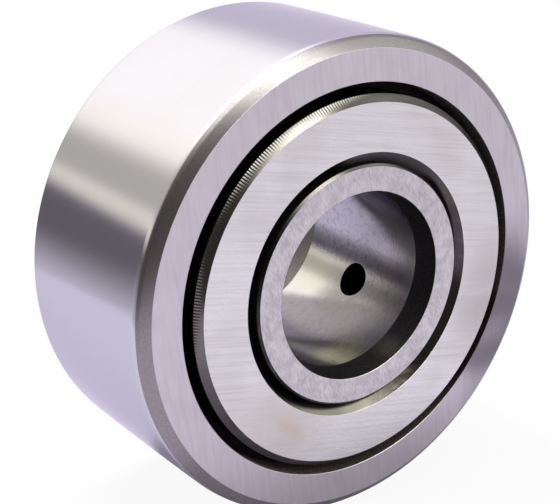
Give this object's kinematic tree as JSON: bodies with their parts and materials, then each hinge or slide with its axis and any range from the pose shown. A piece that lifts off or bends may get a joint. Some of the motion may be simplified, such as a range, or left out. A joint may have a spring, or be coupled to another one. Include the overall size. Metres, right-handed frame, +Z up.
{
  "type": "yoke type track roller",
  "caption": "Yoke type track roller: thick crowned outer ring on caged needle rollers around a bored inner ring, guided by a pressed-on flange ring at each end.",
  "frame": {"origin": "centre of the roller: on the bore axis, midway between the two end faces of the inner ring", "axes": "+Y along the bore axis from the front end face to the rear one, +Z up, +X to the right seen from the front"},
  "size_m": [0.032, 0.015, 0.032],
  "materials": {
    "outer_ring_steel": "ground and satin polished bearing steel, fine grinding lines on the end faces",
    "inner_ring_steel": "lapped bearing steel end face with a faint mottle, honed bore",
    "flange_steel": "surface ground steel with straight grinding lines, finely serrated edge",
    "cage_steel": "dark satin steel",
    "needle_steel": "polished bearing steel"
  },
  "bodies": {
    "inner_assembly": {"inner_ring": "inner_ring_steel", "front_flange_ring": "flange_steel", "rear_flange_ring": "flange_steel"},
    "outer_ring": {"outer_ring": "outer_ring_steel"},
    "cage": {"needle_cage": "cage_steel"},
    "needle_roller_01": {"needle_roller_01": "needle_steel"},
    "needle_roller_02": {"needle_roller_02": "needle_steel"},
    "needle_roller_03": {"needle_roller_03": "needle_steel"},
    "needle_roller_04": {"needle_roller_04": "needle_steel"},
    "needle_roller_05": {"needle_roller_05": "needle_steel"},
    "needle_roller_06": {"needle_roller_06": "needle_steel"},
    "needle_roller_07": {"needle_roller_07": "needle_steel"},
    "needle_roller_08": {"needle_roller_08": "needle_steel"},
    "needle_roller_09": {"needle_roller_09": "needle_steel"},
    "needle_roller_10": {"needle_roller_10": "needle_steel"},
    "needle_roller_11": {"needle_roller_11": "needle_steel"},
    "needle_roller_12": {"needle_roller_12": "needle_steel"},
    "needle_roller_13": {"needle_roller_13": "needle_steel"},
    "needle_roller_14": {"needle_roller_14": "needle_steel"},
    "needle_roller_15": {"needle_roller_15": "needle_steel"},
    "needle_roller_16": {"needle_roller_16": "needle_steel"}
  },
  "joints": [
    {"name": "outer_ring_spin", "type": "hinge", "parent": "inner_assembly", "child": "outer_ring", "pos_m": [0, 0, 0], "axis": [0, 1, 0], "continuous": true},
    {"name": "cage_spin", "type": "hinge", "parent": "inner_assembly", "child": "cage", "pos_m": [0, 0, 0], "axis": [0, 1, 0], "continuous": true},
    {"name": "needle_roller_01_spin", "type": "hinge", "parent": "cage", "child": "needle_roller_01", "pos_m": [0.00878, 0, -0.00307], "axis": [0, 1, 0], "continuous": true},
    {"name": "needle_roller_02_spin", "type": "hinge", "parent": "cage", "child": "needle_roller_02", "pos_m": [0.00929, 0, 0.00053], "axis": [0, 1, 0], "continuous": true},
    {"name": "needle_roller_03_spin", "type": "hinge", "parent": "cage", "child": "needle_roller_03", "pos_m": [0.00838, 0, 0.00404], "axis": [0, 1, 0], "continuous": true},
    {"name": "needle_roller_04_spin", "type": "hinge", "parent": "cage", "child": "needle_roller_04", "pos_m": [0.00619, 0, 0.00694], "axis": [0, 1, 0], "continuous": true},
    {"name": "needle_roller_05_spin", "type": "hinge", "parent": "cage", "child": "needle_roller_05", "pos_m": [0.00307, 0, 0.00878], "axis": [0, 1, 0], "continuous": true},
    {"name": "needle_roller_06_spin", "type": "hinge", "parent": "cage", "child": "needle_roller_06", "pos_m": [-0.00053, 0, 0.00929], "axis": [0, 1, 0], "continuous": true},
    {"name": "needle_roller_07_spin", "type": "hinge", "parent": "cage", "child": "needle_roller_07", "pos_m": [-0.00404, 0, 0.00838], "axis": [0, 1, 0], "continuous": true},
    {"name": "needle_roller_08_spin", "type": "hinge", "parent": "cage", "child": "needle_roller_08", "pos_m": [-0.00694, 0, 0.00619], "axis": [0, 1, 0], "continuous": true},
    {"name": "needle_roller_09_spin", "type": "hinge", "parent": "cage", "child": "needle_roller_09", "pos_m": [-0.00878, 0, 0.00307], "axis": [0, 1, 0], "continuous": true},
    {"name": "needle_roller_10_spin", "type": "hinge", "parent": "cage", "child": "needle_roller_10", "pos_m": [-0.00929, 0, -0.00053], "axis": [0, 1, 0], "continuous": true},
    {"name": "needle_roller_11_spin", "type": "hinge", "parent": "cage", "child": "needle_roller_11", "pos_m": [-0.00838, 0, -0.00404], "axis": [0, 1, 0], "continuous": true},
    {"name": "needle_roller_12_spin", "type": "hinge", "parent": "cage", "child": "needle_roller_12", "pos_m": [-0.00619, 0, -0.00694], "axis": [0, 1, 0], "continuous": true},
    {"name": "needle_roller_13_spin", "type": "hinge", "parent": "cage", "child": "needle_roller_13", "pos_m": [-0.00307, 0, -0.00878], "axis": [0, 1, 0], "continuous": true},
    {"name": "needle_roller_14_spin", "type": "hinge", "parent": "cage", "child": "needle_roller_14", "pos_m": [0.00053, 0, -0.00929], "axis": [0, 1, 0], "continuous": true},
    {"name": "needle_roller_15_spin", "type": "hinge", "parent": "cage", "child": "needle_roller_15", "pos_m": [0.00404, 0, -0.00838], "axis": [0, 1, 0], "continuous": true},
    {"name": "needle_roller_16_spin", "type": "hinge", "parent": "cage", "child": "needle_roller_16", "pos_m": [0.00694, 0, -0.00619], "axis": [0, 1, 0], "continuous": true}
  ],
  "couplings": [
    {"joint": "cage_spin", "follows": "outer_ring_spin", "ratio": 0.5672},
    {"joint": "needle_roller_01_spin", "follows": "outer_ring_spin", "ratio": 3.6528},
    {"joint": "needle_roller_02_spin", "follows": "outer_ring_spin", "ratio": 3.6528},
    {"joint": "needle_roller_03_spin", "follows": "outer_ring_spin", "ratio": 3.6528},
    {"joint": "needle_roller_04_spin", "follows": "outer_ring_spin", "ratio": 3.6528},
    {"joint": "needle_roller_05_spin", "follows": "outer_ring_spin", "ratio": 3.6528},
    {"joint": "needle_roller_06_spin", "follows": "outer_ring_spin", "ratio": 3.6528},
    {"joint": "needle_roller_07_spin", "follows": "outer_ring_spin", "ratio": 3.6528},
    {"joint": "needle_roller_08_spin", "follows": "outer_ring_spin", "ratio": 3.6528},
    {"joint": "needle_roller_09_spin", "follows": "outer_ring_spin", "ratio": 3.6528},
    {"joint": "needle_roller_10_spin", "follows": "outer_ring_spin", "ratio": 3.6528},
    {"joint": "needle_roller_11_spin", "follows": "outer_ring_spin", "ratio": 3.6528},
    {"joint": "needle_roller_12_spin", "follows": "outer_ring_spin", "ratio": 3.6528},
    {"joint": "needle_roller_13_spin", "follows": "outer_ring_spin", "ratio": 3.6528},
    {"joint": "needle_roller_14_spin", "follows": "outer_ring_spin", "ratio": 3.6528},
    {"joint": "needle_roller_15_spin", "follows": "outer_ring_spin", "ratio": 3.6528},
    {"joint": "needle_roller_16_spin", "follows": "outer_ring_spin", "ratio": 3.6528}
  ]
}
